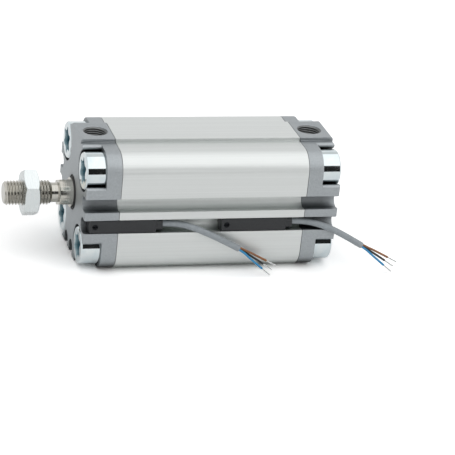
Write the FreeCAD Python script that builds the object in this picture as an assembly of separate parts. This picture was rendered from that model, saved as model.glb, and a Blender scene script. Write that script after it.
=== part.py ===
"""Compact double-acting pneumatic cylinder, 32 mm bore and 60 mm stroke, with two position sensors.

Millimetres. The rod's axis is X, from the rod end at -X to the rear end at +X, and +Z is up.
The origin is on that axis, in the plane of the front cap's mounting face. The rod is drawn in.
"""
import FreeCAD, Part
import math
import os

Vector = FreeCAD.Vector

# Body profile, shared by the barrel and both caps
BORE_D = 32.0
STROKE = 60.0
SIDE = 50.0
CORNER_R = 8.5
PAD_WIDTH = 17.6
PAD_RISE = 1.4
CAP_LENGTH = 14.0
CAP_EDGE_R = 0.9
SEAT_GAP = 0.03

# Paired sensor slots in the two sides and the bottom
SLOT_OFFSET = 4.5
SLOT_R = 3.1
SLOT_CENTRE_DEPTH = 3.0
SLOT_MOUTH = 5.6

# Corner screws, hollow and tapped M6 for mounting
SCREW_PITCH = 32.0
HEAD_D = 15.1
HEAD_LENGTH = 7.8
HEAD_EDGE = 0.5
SOCKET_TIP_D = 11.2
SOCKET_ROOT_D = 7.9
SOCKET_LOBE_R = 0.9
SOCKET_DEPTH = 4.5
SHANK_D = 8.0
SHANK_GRIP = 12.0
SHANK_HOLE_GAP = 0.25
MOUNT_TAP_D = 5.0
MOUNT_TAP_DEPTH = 12.0
POCKET_GAP = 0.75
POCKET_REACH = 4.0
POCKET_BEVEL = 0.8

# Air ports, G1/8, and the passages to the chambers
PORT_D = 9.73
PORT_FROM_FACE = 7.6
PORT_DEPTH = 8.0
PORT_BEVEL = 0.45
PASSAGE_D = 4.0
CHAMBER_HOLE_D = 3.0
CHAMBER_HOLE_Z = 10.0

# Cap spigots, bumpers and face seals
SPIGOT_LENGTH = 2.0
SPIGOT_GAP = 0.1
BUMPER_WIDTH = 3.0
BUMPER_WALL = 1.0
BUMPER_SEAT = 1.5
BUMPER_PROUD = 0.5
FACE_RING_SECTION = 1.3
FACE_RING_WALL = 0.45
FACE_RING_ROOM = 0.15

# Rod, with wrench flats, relief and male thread M10x1.25, and its lock nut
ROD_D = 12.0
ROD_RUN_GAP = 0.03
FLATS_ACROSS = 10.0
FLATS_START = 1.1
FLATS_LENGTH = 4.9
FLATS_TURN = 66.0
RELIEF_D = 8.0
RELIEF_LENGTH = 2.9
THREAD_D = 10.0
THREAD_PITCH = 1.25
PITCH_LINE_SHARE = 0.3248  # of the pitch, from the crest down to a 60 degree thread's pitch line
THREAD_LENGTH = 19.1
THREAD_BEVEL = 1.0
NUT_ACROSS = 17.0
NUT_HEIGHT = 6.0
NUT_FROM_TIP = 7.5
NUT_TURN = 32.0
NUT_RUN_GAP = 0.04
NUT_END_ROOM = 0.3
NUT_BEVEL_ANGLE = 30.0

# Rod guide and wiper in the front cap
GUIDE_WALL = 1.0
GUIDE_FROM_WIPER = 1.0
GUIDE_INSET = 0.5
WIPER_WALL = 1.0
WIPER_LENGTH = 4.2
WIPER_INSET = 0.3
WIPER_LIP = 0.8
ROD_HOLE_GAP = 0.3

# Piston: two discs that clamp the magnet and the guide ring
PISTON_LENGTH = 11.5
PISTON_GAP = 0.2
RING_RUN_GAP = 0.05
SEAL_WIDTH = 2.5
SEAL_HEIGHT = 3.3
SEAL_FROM_FACE = 0.8
SEAL_NOTCH = 1.0
GUIDE_RING_WIDTH = 3.2
GUIDE_RING_HEIGHT = 2.4
MAGNET_HEIGHT = 2.8
GROOVE_GAP = 0.06
ROD_SHOULDER = 1.0
ROD_SPIGOT_LENGTH = 4.0
ROD_RING_ROOM = 0.2
BOLT_D = 6.0
BOLT_HEAD_D = 10.0
BOLT_HEAD_HEIGHT = 3.6
BOLT_GRIP = 14.0
BOLT_KEY_ACROSS = 5.0
BOLT_KEY_DEPTH = 2.2

# Position sensors in the lower slot of the near side
FRONT_SENSOR_X = 2.4
REAR_SENSOR_X = 56.2
SENSOR_LENGTH = 27.0
SENSOR_GAP = 0.12
SENSOR_INSET = 0.15
SENSOR_NECK_D = 5.4
SENSOR_NECK_LENGTH = 2.6
CLAMP_FROM_END = 2.2
CLAMP_D = 2.3
CLAMP_SLIT = 0.45
CLAMP_SLIT_DEPTH = 0.6
REED_D = 2.0
REED_LENGTH = 14.0
REED_FROM_END = 7.5
REED_ROOM = 0.15
CORE_HOLE_D = 1.2

# Leads: grey jacket, three cores and their bare ends
CABLE_D = 2.6
CORE_D = 0.9
TIP_D = 0.5
CORE_COLOURS = ("brown", "black", "blue")
CORE_SPREAD = 0.56
CORE_STRAIGHT = 2.2
TIP_LENGTH = 4.4
BEND_SHARE = 0.45  # of the shorter run beside a bend, taken up by its arc

# Lengths and places worked out from the driving dimensions
BORE_R = BORE_D / 2
HALF_SIDE = SIDE / 2
PAD_TOP = HALF_SIDE + PAD_RISE
SCREW_AT = SCREW_PITCH / 2
BARREL_LENGTH = STROKE + PISTON_LENGTH + 2 * (SPIGOT_LENGTH + BUMPER_PROUD)
BARREL_END = CAP_LENGTH + BARREL_LENGTH
TOTAL_LENGTH = BARREL_END + CAP_LENGTH
SPIGOT_END = CAP_LENGTH + SPIGOT_LENGTH
SPIGOT_R = BORE_R - SPIGOT_GAP
BUMPER_OUTER_R = SPIGOT_R - BUMPER_WALL
PISTON_BACK = BARREL_END - SPIGOT_LENGTH - BUMPER_PROUD
PISTON_FRONT = PISTON_BACK - PISTON_LENGTH
PISTON_MIDDLE = (PISTON_FRONT + PISTON_BACK) / 2
PISTON_R = BORE_R - PISTON_GAP
RING_R = BORE_R - RING_RUN_GAP
GUIDE_RING_INNER_R = RING_R - GUIDE_RING_HEIGHT
MAGNET_OUTER_R = GUIDE_RING_INNER_R - GROOVE_GAP
MAGNET_INNER_R = MAGNET_OUTER_R - MAGNET_HEIGHT
FLATS_END = -FLATS_START - FLATS_LENGTH
THREAD_START = FLATS_END - RELIEF_LENGTH
ROD_TIP = THREAD_START - THREAD_LENGTH
NUT_FRONT = ROD_TIP + NUT_FROM_TIP
NUT_BACK = NUT_FRONT + NUT_HEIGHT
ENGAGED_R = THREAD_D / 2 - PITCH_LINE_SHARE * THREAD_PITCH
SLOT_DEEP = HALF_SIDE - SLOT_CENTRE_DEPTH
POCKET_R = HEAD_D / 2 + POCKET_GAP
WIPER_BACK = WIPER_INSET + WIPER_LENGTH
GUIDE_START = WIPER_BACK + GUIDE_FROM_WIPER
GUIDE_END = SPIGOT_END - GUIDE_INSET
ROD_SPIGOT_D = ROD_D - 2 * ROD_SHOULDER
ROD_RING_SECTION = ROD_SHOULDER - ROD_RING_ROOM
CORNERS = [(y, z) for y in (-SCREW_AT, SCREW_AT) for z in (-SCREW_AT, SCREW_AT)]

X_AXIS = Vector(1, 0, 0)
Y_AXIS = Vector(0, 1, 0)
Z_AXIS = Vector(0, 0, 1)
OVERCUT = 1.0


def rod_round(x0, x1, radius, y=0.0, z=0.0):
    """Cylinder along X from x0 to x1."""
    return Part.makeCylinder(radius, x1 - x0, Vector(x0, y, z), X_AXIS)


def rod_ring(x0, x1, inner_r, outer_r):
    """Ring about the rod's axis from x0 to x1."""
    return rod_round(x0, x1, outer_r).cut(rod_round(x0 - OVERCUT, x1 + OVERCUT, inner_r))


def block(x0, x1, y0, y1, z0, z1):
    return Part.makeBox(x1 - x0, y1 - y0, z1 - z0, Vector(x0, y0, z0))


def revolved(points):
    """Solid turned about the rod's axis from a closed outline of (x, radius) points."""
    corners = [Vector(x, 0, r) for x, r in points]
    outline = Part.makePolygon(corners + corners[:1])
    return Part.Face(outline).revolve(Vector(0, 0, 0), X_AXIS, 360)


def turned_about_x(shape, degrees):
    turned = shape.copy()
    turned.rotate(Vector(0, 0, 0), X_AXIS, degrees)
    return turned


def mirrored_to_rear(shape):
    return shape.mirror(Vector(TOTAL_LENGTH / 2, 0, 0), X_AXIS)


def edges_in_face(shape, x):
    """Edges that lie in the plane at x."""
    return [e for e in shape.Edges if all(abs(v.X - x) < 1e-6 for v in e.Vertexes)]


def hexagon_bar(x0, x1, across, turn):
    """Hexagonal bar along X, with one corner turned up from -Y by this angle."""
    corner_r = across / math.sqrt(3)
    angles = [math.radians(turn + 60 * i) for i in range(6)]
    corners = [Vector(x0, -corner_r * math.cos(a), corner_r * math.sin(a)) for a in angles]
    return Part.Face(Part.makePolygon(corners + corners[:1])).extrude(Vector(x1 - x0, 0, 0))


def six_lobe_bar(x0, x1):
    """Bar of the screws' six-lobe socket shape: lobe arcs joined by tangent hollow arcs."""
    tip_r = SOCKET_TIP_D / 2
    root_r = SOCKET_ROOT_D / 2
    lobe_at = tip_r - SOCKET_LOBE_R
    cos_30 = math.cos(math.radians(30))
    hollow_r = (lobe_at ** 2 + root_r ** 2 - 2 * lobe_at * root_r * cos_30 - SOCKET_LOBE_R ** 2) / (
        2 * (SOCKET_LOBE_R - root_r + lobe_at * cos_30))
    hollow_at = root_r + hollow_r

    def point(radius, degrees):
        angle = math.radians(degrees)
        return Vector(x0, radius * math.cos(angle), radius * math.sin(angle))

    def joint(lobe_angle, hollow_angle):
        """Point where a lobe arc and a hollow arc touch, on the line between their centres."""
        lobe = point(lobe_at, lobe_angle)
        hollow = point(hollow_at, hollow_angle)
        return lobe + (hollow - lobe) * (SOCKET_LOBE_R / (SOCKET_LOBE_R + hollow_r))

    edges = []
    for i in range(6):
        lobe = 30 + 60 * i
        before = joint(lobe, lobe - 30)
        after = joint(lobe, lobe + 30)
        following = joint(lobe + 60, lobe + 30)
        edges.append(Part.Arc(before, point(tip_r, lobe), after).toShape())
        edges.append(Part.Arc(after, point(root_r, lobe + 30), following).toShape())
    return Part.Face(Part.Wire(edges)).extrude(Vector(x1 - x0, 0, 0))


def slot_pair(x0, x1):
    """Cutters for the bottom's two sensor slots, which leave a rib between them."""
    cutters = []
    for y in (-SLOT_OFFSET, SLOT_OFFSET):
        mouth = block(x0, x1, y - SLOT_MOUTH / 2, y + SLOT_MOUTH / 2, -HALF_SIDE - OVERCUT, -SLOT_DEEP)
        cutters.append(mouth.fuse(rod_round(x0, x1, SLOT_R, y, -SLOT_DEEP)))
    return cutters


def body_section(x0, x1, edge_r=0.0):
    """Length of the body profile, with the outline at x0 rounded by edge_r."""
    square = block(x0, x1, -HALF_SIDE, HALF_SIDE, -HALF_SIDE, HALF_SIDE)
    lengthwise = [e for e in square.Edges if abs(e.tangentAt(e.FirstParameter).x) > 0.99]
    square = square.makeFillet(CORNER_R, lengthwise)
    pad = block(x0, x1, -PAD_WIDTH / 2, PAD_WIDTH / 2, 0, PAD_TOP)
    if edge_r:
        square = square.makeFillet(edge_r, edges_in_face(square, x0))
        front = [e for e in edges_in_face(pad, x0) if e.BoundBox.ZMin > PAD_TOP - edge_r]
        pad = pad.makeFillet(edge_r, front)
    body = square.fuse(pad)
    for turn in (-90, 0, 90):
        body = body.cut([turned_about_x(slot, turn) for slot in slot_pair(x0 - OVERCUT, x1 + OVERCUT)])
    return body.removeSplitter()


def make_barrel():
    barrel = body_section(CAP_LENGTH, BARREL_END)
    barrel = barrel.cut(rod_round(CAP_LENGTH - OVERCUT, BARREL_END + OVERCUT, BORE_R))
    channel_r = SHANK_D / 2 + SEAT_GAP
    for y, z in CORNERS:
        barrel = barrel.cut(rod_round(CAP_LENGTH - OVERCUT, BARREL_END + OVERCUT, channel_r, y, z))
    return barrel


def corner_pocket(y, z):
    """Cutters for one screw's corner pocket, with bevels where it breaks out of the two sides."""
    rise = HALF_SIDE - SCREW_AT
    breakout = SCREW_AT - max(POCKET_REACH, math.sqrt(max(POCKET_R ** 2 - rise ** 2, 0)))
    inner = SCREW_AT - POCKET_REACH
    y0, y1 = sorted((math.copysign(inner, y), math.copysign(HALF_SIDE + OVERCUT, y)))
    z0, z1 = sorted((math.copysign(inner, z), math.copysign(HALF_SIDE + OVERCUT, z)))
    cutters = [block(-OVERCUT, HEAD_LENGTH, y0, y1, z0, z1),
               rod_round(-OVERCUT, HEAD_LENGTH, POCKET_R, y, z)]
    for edge_y, edge_z in ((breakout, HALF_SIDE), (HALF_SIDE, breakout)):
        at_y = math.copysign(edge_y, y)
        at_z = math.copysign(edge_z, z)
        corners = [Vector(-OVERCUT, at_y + POCKET_BEVEL * along, at_z + POCKET_BEVEL * up)
                   for along, up in ((1, 0), (0, 1), (-1, 0), (0, -1), (1, 0))]
        diamond = Part.Face(Part.makePolygon(corners))
        cutters.append(diamond.extrude(Vector(OVERCUT + HEAD_LENGTH, 0, 0)))
    return cutters


def make_cap_blank():
    """End cap without a rod hole, in the front cap's place."""
    cap = body_section(0, CAP_LENGTH, CAP_EDGE_R)
    for y, z in CORNERS:
        cap = cap.cut(corner_pocket(y, z))
        hole_r = SHANK_D / 2 + SHANK_HOLE_GAP
        cap = cap.cut(rod_round(0, CAP_LENGTH + OVERCUT, hole_r, y, z))

    cap = cap.fuse(rod_round(CAP_LENGTH - OVERCUT, SPIGOT_END, SPIGOT_R)).removeSplitter()
    bumper_seat = SPIGOT_END - BUMPER_SEAT
    cap = cap.cut(rod_ring(bumper_seat, SPIGOT_END + OVERCUT,
                           BUMPER_OUTER_R - BUMPER_WIDTH - SEAT_GAP, BUMPER_OUTER_R + SEAT_GAP))
    ring_inner = BORE_R + FACE_RING_WALL
    ring_outer = ring_inner + FACE_RING_SECTION + FACE_RING_ROOM
    groove = rod_ring(CAP_LENGTH - FACE_RING_SECTION, CAP_LENGTH, ring_inner, ring_outer)
    cap = cap.cut(groove)

    port_floor = PAD_TOP - PORT_DEPTH
    port_r = PORT_D / 2
    port = Part.makeCylinder(port_r, PORT_DEPTH + OVERCUT, Vector(PORT_FROM_FACE, 0, port_floor), Z_AXIS)
    bevel = Part.makeCone(port_r, port_r + PORT_BEVEL, PORT_BEVEL,
                          Vector(PORT_FROM_FACE, 0, PAD_TOP - PORT_BEVEL), Z_AXIS)
    passage = Part.makeCylinder(PASSAGE_D / 2, port_floor - CHAMBER_HOLE_Z + OVERCUT,
                                Vector(PORT_FROM_FACE, 0, CHAMBER_HOLE_Z), Z_AXIS)
    chamber_hole = rod_round(PORT_FROM_FACE, SPIGOT_END + OVERCUT, CHAMBER_HOLE_D / 2, 0, CHAMBER_HOLE_Z)
    return cap.cut([port, bevel, passage, chamber_hole])


def make_front_cap():
    wiper_r = ROD_D / 2 + WIPER_WALL + SEAT_GAP
    wiper_pocket = rod_round(-OVERCUT, WIPER_BACK, wiper_r)
    rod_hole = rod_round(0, SPIGOT_END, ROD_D / 2 + ROD_HOLE_GAP)
    guide_r = ROD_D / 2 + GUIDE_WALL + SEAT_GAP
    guide_pocket = rod_round(GUIDE_START, SPIGOT_END + OVERCUT, guide_r)
    return make_cap_blank().cut([wiper_pocket, rod_hole, guide_pocket])


def make_cover_screw(y, z):
    """Hollow corner screw of the front cap: six-lobe socket, then the tapped mounting hole."""
    head = rod_round(0, HEAD_LENGTH, HEAD_D / 2, y, z)
    head = head.makeChamfer(HEAD_EDGE, edges_in_face(head, 0))
    screw = head.fuse(rod_round(HEAD_LENGTH, CAP_LENGTH + SHANK_GRIP, SHANK_D / 2, y, z))
    socket = six_lobe_bar(-OVERCUT, SOCKET_DEPTH)
    socket.translate(Vector(0, y, z))
    tap = rod_round(0, SOCKET_DEPTH + MOUNT_TAP_DEPTH, MOUNT_TAP_D / 2, y, z)
    return screw.cut([socket, tap])


def make_rod_guide():
    inner = ROD_D / 2 + ROD_RUN_GAP
    return rod_ring(GUIDE_START, GUIDE_END, inner, ROD_D / 2 + GUIDE_WALL)


def make_rod_wiper():
    """Wiper with its lip standing out of the front face and a sealing lip behind it."""
    inner = ROD_D / 2 + ROD_RUN_GAP
    outer = ROD_D / 2 + WIPER_WALL
    middle = (inner + outer) / 2
    return revolved([
        (WIPER_INSET, outer), (WIPER_BACK, outer), (WIPER_BACK, middle), (WIPER_BACK - WIPER_WALL, middle),
        (WIPER_BACK - WIPER_WALL / 2, inner), (WIPER_INSET - WIPER_LIP, inner),
        (WIPER_INSET - WIPER_LIP, inner + WIPER_WALL / 4), (WIPER_INSET, middle)])


def make_face_ring():
    section_r = FACE_RING_SECTION / 2
    mean_r = BORE_R + FACE_RING_WALL + FACE_RING_ROOM / 2 + section_r
    centre = Vector(CAP_LENGTH - section_r, 0, 0)
    return Part.makeTorus(mean_r, section_r - SEAT_GAP, centre, X_AXIS)


def make_bumper():
    start = SPIGOT_END - BUMPER_SEAT
    return rod_ring(start, SPIGOT_END + BUMPER_PROUD, BUMPER_OUTER_R - BUMPER_WIDTH, BUMPER_OUTER_R)


def make_piston_rod():
    """Rod whose plain thread steps in to its pitch diameter where the lock nut engages it."""
    rod = rod_round(FLATS_END, PISTON_FRONT, ROD_D / 2)
    flats = block(FLATS_END - OVERCUT, -FLATS_START, -ROD_D, ROD_D, FLATS_ACROSS / 2, ROD_D)
    for side in (0, 180):
        rod = rod.cut(turned_about_x(flats, FLATS_TURN - 90 + side))
    relief = rod_round(THREAD_START, FLATS_END, RELIEF_D / 2)
    thread = rod_round(ROD_TIP, THREAD_START, THREAD_D / 2)
    thread = thread.makeChamfer(THREAD_BEVEL, edges_in_face(thread, ROD_TIP))
    thread = thread.cut(rod_ring(NUT_FRONT - NUT_END_ROOM, NUT_BACK + NUT_END_ROOM, ENGAGED_R, THREAD_D))
    spigot = rod_round(PISTON_FRONT, PISTON_FRONT + ROD_SPIGOT_LENGTH, ROD_SPIGOT_D / 2)
    rod = rod.fuse([relief, thread, spigot]).removeSplitter()
    tap_start = PISTON_BACK - BOLT_HEAD_HEIGHT - BOLT_GRIP - BOLT_D / 2
    return rod.cut(rod_round(tap_start, PISTON_BACK, BOLT_D / 2 + SEAT_GAP))


def make_lock_nut():
    """Hexagon nut with its corners turned off at both ends."""
    bar = hexagon_bar(NUT_FRONT, NUT_BACK, NUT_ACROSS, NUT_TURN)
    corner_r = NUT_ACROSS / math.sqrt(3)
    flat_r = NUT_ACROSS / 2
    bevel = (corner_r - flat_r) * math.tan(math.radians(NUT_BEVEL_ANGLE))
    turned = revolved([(NUT_FRONT, 0), (NUT_FRONT, flat_r), (NUT_FRONT + bevel, corner_r),
                       (NUT_BACK - bevel, corner_r), (NUT_BACK, flat_r), (NUT_BACK, 0)])
    bore = rod_round(NUT_FRONT - OVERCUT, NUT_BACK + OVERCUT, ENGAGED_R + NUT_RUN_GAP)
    return bar.common(turned).cut(bore)


def seal_span(front):
    """Start and end of a piston seal's groove."""
    if front:
        return PISTON_FRONT + SEAL_FROM_FACE, PISTON_FRONT + SEAL_FROM_FACE + SEAL_WIDTH
    return PISTON_BACK - SEAL_FROM_FACE - SEAL_WIDTH, PISTON_BACK - SEAL_FROM_FACE


def make_piston_disc(front):
    """Half of the piston, with a seal groove and half of the groove for magnet and guide ring."""
    start, end = (PISTON_FRONT, PISTON_MIDDLE) if front else (PISTON_MIDDLE, PISTON_BACK)
    disc = rod_round(start, end, PISTON_R)
    seal_start, seal_end = seal_span(front)
    seal_floor = RING_R - SEAL_HEIGHT - GROOVE_GAP
    disc = disc.cut(rod_ring(seal_start - GROOVE_GAP, seal_end + GROOVE_GAP, seal_floor, BORE_R))
    half = GUIDE_RING_WIDTH / 2 + GROOVE_GAP
    magnet_floor = MAGNET_INNER_R - GROOVE_GAP
    disc = disc.cut(rod_ring(PISTON_MIDDLE - half, PISTON_MIDDLE + half, magnet_floor, BORE_R))
    disc = disc.cut(rod_round(start - OVERCUT, end + OVERCUT, BOLT_D / 2 + SEAT_GAP))
    if front:
        spigot_end = PISTON_FRONT + ROD_SPIGOT_LENGTH
        disc = disc.cut(rod_round(start - OVERCUT, spigot_end, ROD_SPIGOT_D / 2 + SEAT_GAP))
        return disc.cut(rod_ring(start, start + ROD_RING_SECTION, ROD_SPIGOT_D / 2, ROD_D / 2))
    head_seat = PISTON_BACK - BOLT_HEAD_HEIGHT
    return disc.cut(rod_round(head_seat, end + OVERCUT, BOLT_HEAD_D / 2 + SEAT_GAP))


def make_piston_seal(front):
    """Lip seal whose notch faces the chamber that it holds."""
    start, end = seal_span(front)
    inner = RING_R - SEAL_HEIGHT
    middle = (RING_R + inner) / 2
    open_x, shut_x, inward = (start, end, 1) if front else (end, start, -1)
    return revolved([(open_x, inner), (shut_x, inner), (shut_x, RING_R), (open_x, RING_R),
                     (open_x, middle + SEAL_NOTCH / 2), (open_x + inward * SEAL_NOTCH, middle),
                     (open_x, middle - SEAL_NOTCH / 2)])


def make_piston_bolt():
    head_seat = PISTON_BACK - BOLT_HEAD_HEIGHT
    head = rod_round(head_seat, PISTON_BACK, BOLT_HEAD_D / 2)
    shank = rod_round(head_seat - BOLT_GRIP, head_seat, BOLT_D / 2)
    key = hexagon_bar(PISTON_BACK - BOLT_KEY_DEPTH, PISTON_BACK + OVERCUT, BOLT_KEY_ACROSS, 0)
    return head.fuse(shank).cut(key)


def make_rod_o_ring():
    section_r = ROD_RING_SECTION / 2
    mean_r = (ROD_SPIGOT_D + ROD_D) / 4
    return Part.makeTorus(mean_r, section_r - SEAT_GAP, Vector(PISTON_FRONT + section_r, 0, 0), X_AXIS)


def sensor_profile(x0, x1):
    """Length of the sensor's section: the slot's shape with clearance, just inside its mouth."""
    mouth = SLOT_MOUTH / 2 - SENSOR_GAP
    face = -HALF_SIDE + SENSOR_INSET
    core = rod_round(x0, x1, SLOT_R - SENSOR_GAP, -SLOT_DEEP, -SLOT_OFFSET)
    neck = block(x0, x1, face, -SLOT_DEEP, -SLOT_OFFSET - mouth, -SLOT_OFFSET + mouth)
    outer = block(x0, x1, face, 0, -HALF_SIDE, HALF_SIDE)
    return core.fuse(neck).common(outer).removeSplitter()


def clamp_span():
    """Y of the clamp screw's slotted end, level with the sensor's face, and of its point in the slot."""
    reach = math.sqrt(SLOT_R ** 2 - CLAMP_D ** 2 / 4)
    return -HALF_SIDE + SENSOR_INSET, -SLOT_DEEP + reach - SEAT_GAP


def make_sensor_body(x0):
    end = x0 + SENSOR_LENGTH
    neck_end = end + SENSOR_NECK_LENGTH
    body = sensor_profile(x0, end)
    body = body.fuse(rod_round(end, neck_end, SENSOR_NECK_D / 2, -SLOT_DEEP, -SLOT_OFFSET))
    clamp_hole = Part.makeCylinder(CLAMP_D / 2 + SEAT_GAP, SIDE,
                                   Vector(x0 + CLAMP_FROM_END, -SIDE, -SLOT_OFFSET), Y_AXIS)
    reed_start = x0 + REED_FROM_END
    reed_room = rod_round(reed_start - REED_ROOM, reed_start + REED_LENGTH + REED_ROOM,
                          REED_D / 2 + REED_ROOM, -SLOT_DEEP, -SLOT_OFFSET)
    core_hole = rod_round(reed_start, neck_end + OVERCUT, CORE_HOLE_D / 2, -SLOT_DEEP, -SLOT_OFFSET)
    return body.cut([clamp_hole, reed_room, core_hole])


def make_clamp_screw(x0):
    face, point = clamp_span()
    x = x0 + CLAMP_FROM_END
    screw = Part.makeCylinder(CLAMP_D / 2, point - face, Vector(x, face, -SLOT_OFFSET), Y_AXIS)
    slit = block(x - CLAMP_D, x + CLAMP_D, face - OVERCUT, face + CLAMP_SLIT_DEPTH,
                 -SLOT_OFFSET - CLAMP_SLIT / 2, -SLOT_OFFSET + CLAMP_SLIT / 2)
    return screw.cut(slit)


def make_reed(x0):
    start = x0 + REED_FROM_END
    capsule = rod_round(start, start + REED_LENGTH, REED_D / 2, -SLOT_DEEP, -SLOT_OFFSET)
    return capsule.makeFillet(REED_D / 4, capsule.Edges[:1] + capsule.Edges[2:3])


def cord(name, route, diameter):
    """Round cord along straight runs, joined at each point by an arc as large as the runs allow."""
    points = [Vector(p) for p in route]
    edges = []
    radii = []
    start = points[0]
    for before, point, after in zip(points, points[1:], points[2:]):
        into = (point - before).normalize()
        out = (after - point).normalize()
        shorter = min((point - before).Length, (after - point).Length)
        half_turn = into.getAngle(out) / 2
        trim = BEND_SHARE * shorter
        radius = trim / math.tan(half_turn)
        arc_start = point - into * trim
        arc_end = point + out * trim
        inward = (out - into).normalize()
        arc_middle = point + inward * (radius / math.cos(half_turn) - radius)
        edges.append(Part.LineSegment(start, arc_start).toShape())
        edges.append(Part.Arc(arc_start, arc_middle, arc_end).toShape())
        radii.append(round(radius, 1))
        start = arc_end
    edges.append(Part.LineSegment(start, points[-1]).toShape())
    path = Part.Wire(edges)
    section = Part.Wire(Part.Circle(points[0], points[1] - points[0], diameter / 2).toShape())
    solid = path.makePipeShell([section], True, False)
    expected = math.pi * diameter ** 2 / 4 * path.Length
    print(f"{name}: length {path.Length:.1f}, radii {radii}, volume share {solid.Volume / expected:.4f}")
    return solid


def bare_tip(start, end):
    """Straight bare end of a core."""
    return Part.makeCylinder(TIP_D / 2, (end - start).Length, start, end - start)


# Routes of the leads: the jacket from the sensor's neck out of the slot and down beside the barrel
FRONT_ROUTE = [(FRONT_SENSOR_X + SENSOR_LENGTH + SENSOR_NECK_LENGTH, -SLOT_DEEP, -SLOT_OFFSET),
               (37.6, -SLOT_DEEP, -SLOT_OFFSET), (43.9, -24.7, -5.0), (50.1, -27.3, -6.9),
               (56.6, -28.5, -9.7), (63.2, -29.0, -13.1)]
REAR_ROUTE = [(REAR_SENSOR_X + SENSOR_LENGTH + SENSOR_NECK_LENGTH, -SLOT_DEEP, -SLOT_OFFSET),
              (91.4, -SLOT_DEEP, -SLOT_OFFSET), (97.6, -24.6, -5.0), (103.4, -27.2, -6.7),
              (109.2, -28.5, -9.5), (115.1, -29.0, -12.9)]

# Each core's middle point and insulation end, measured from the end of its jacket
CORE_FAN = {
    "brown": [(5.7, -0.1, -2.2), (11.9, -0.5, -5.4)],
    "black": [(5.3, -0.2, -3.2), (10.6, -0.9, -6.6)],
    "blue": [(4.9, -1.1, -4.1), (10.1, -1.7, -8.3)],
}


def core_routes(jacket):
    """Each core's insulated route and bare end, starting side by side in the end of the jacket."""
    end = Vector(jacket[-1])
    along = (end - Vector(jacket[-2])).normalize()
    across = along.cross(Y_AXIS).normalize()
    away = across.cross(along)
    routes = {}
    for index, colour in enumerate(CORE_COLOURS):
        angle = math.radians(90 - 120 * index)
        start = end + across * (CORE_SPREAD * math.sin(angle)) + away * (CORE_SPREAD * math.cos(angle))
        middle, insulation_end = [end + Vector(*step) for step in CORE_FAN[colour]]
        bare_end = insulation_end + (insulation_end - middle).normalize() * TIP_LENGTH
        routes[colour] = ([start, start + along * CORE_STRAIGHT, middle, insulation_end],
                          (insulation_end, bare_end))
    return routes


def sensor_pieces(place, x0, jacket):
    pieces = {
        f"{place}_sensor_body": make_sensor_body(x0),
        f"{place}_sensor_screw": make_clamp_screw(x0),
        f"{place}_sensor_reed": make_reed(x0),
        f"{place}_sensor_cable": cord(f"{place}_sensor_cable", jacket, CABLE_D),
    }
    tips = []
    for colour, (route, bare) in core_routes(jacket).items():
        pieces[f"{place}_wire_{colour}"] = cord(f"{place}_wire_{colour}", route, CORE_D)
        tips.append(bare_tip(*bare))
    pieces[f"{place}_wire_tips"] = Part.makeCompound(tips)
    return pieces


def all_pieces():
    front_screws = [make_cover_screw(y, z) for y, z in CORNERS]
    pieces = {
        "barrel": make_barrel(),
        "front_cap": make_front_cap(),
        "rear_cap": mirrored_to_rear(make_cap_blank()),
        "front_cover_screws": Part.makeCompound(front_screws),
        "rear_cover_screws": Part.makeCompound([mirrored_to_rear(s) for s in front_screws]),
        "rod_bush": make_rod_guide(),
        "rod_wiper": make_rod_wiper(),
        "front_barrel_o_ring": make_face_ring(),
        "rear_barrel_o_ring": mirrored_to_rear(make_face_ring()),
        "front_bumper": make_bumper(),
        "rear_bumper": mirrored_to_rear(make_bumper()),
        "piston_front_disc": make_piston_disc(True),
        "piston_rear_disc": make_piston_disc(False),
        "piston_magnet": rod_ring(PISTON_MIDDLE - GUIDE_RING_WIDTH / 2, PISTON_MIDDLE + GUIDE_RING_WIDTH / 2,
                                  MAGNET_INNER_R, MAGNET_OUTER_R),
        "piston_guide_ring": rod_ring(PISTON_MIDDLE - GUIDE_RING_WIDTH / 2,
                                      PISTON_MIDDLE + GUIDE_RING_WIDTH / 2, GUIDE_RING_INNER_R, RING_R),
        "piston_seal_front": make_piston_seal(True),
        "piston_seal_rear": make_piston_seal(False),
        "piston_o_ring": make_rod_o_ring(),
        "piston_bolt": make_piston_bolt(),
        "piston_rod": make_piston_rod(),
        "rod_lock_nut": make_lock_nut(),
    }
    pieces.update(sensor_pieces("front", FRONT_SENSOR_X, FRONT_ROUTE))
    pieces.update(sensor_pieces("rear", REAR_SENSOR_X, REAR_ROUTE))
    return pieces


os.makedirs("parts", exist_ok=True)
for name, shape in all_pieces().items():
    shape.exportStep(f"parts/{name}.step")
    valid = all(s.isValid() for s in shape.Solids)
    print(f"{name}: solids {len(shape.Solids)}, volume {shape.Volume:.1f}, valid {valid}")
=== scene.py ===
import bpy
import math
from mathutils import Matrix, Vector


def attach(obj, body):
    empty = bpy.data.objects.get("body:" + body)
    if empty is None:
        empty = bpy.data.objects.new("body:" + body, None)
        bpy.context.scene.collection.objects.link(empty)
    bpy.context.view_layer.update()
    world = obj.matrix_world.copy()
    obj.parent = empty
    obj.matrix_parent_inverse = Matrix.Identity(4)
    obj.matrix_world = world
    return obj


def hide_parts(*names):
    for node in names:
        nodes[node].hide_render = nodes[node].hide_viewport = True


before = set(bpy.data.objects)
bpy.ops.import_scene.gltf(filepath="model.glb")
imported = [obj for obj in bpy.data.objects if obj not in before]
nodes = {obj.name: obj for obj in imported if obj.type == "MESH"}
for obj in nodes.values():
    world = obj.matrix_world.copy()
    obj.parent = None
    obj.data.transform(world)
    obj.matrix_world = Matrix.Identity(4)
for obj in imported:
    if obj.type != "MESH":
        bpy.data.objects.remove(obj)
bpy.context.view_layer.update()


# Barrel
# The tube is one aluminium extrusion, sawn to length, bored for the piston and anodised a satin silver.
# The press leaves fine draw lines along it, and its sawn ends are broken, so the joints with the caps show.

MM = 0.001
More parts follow.
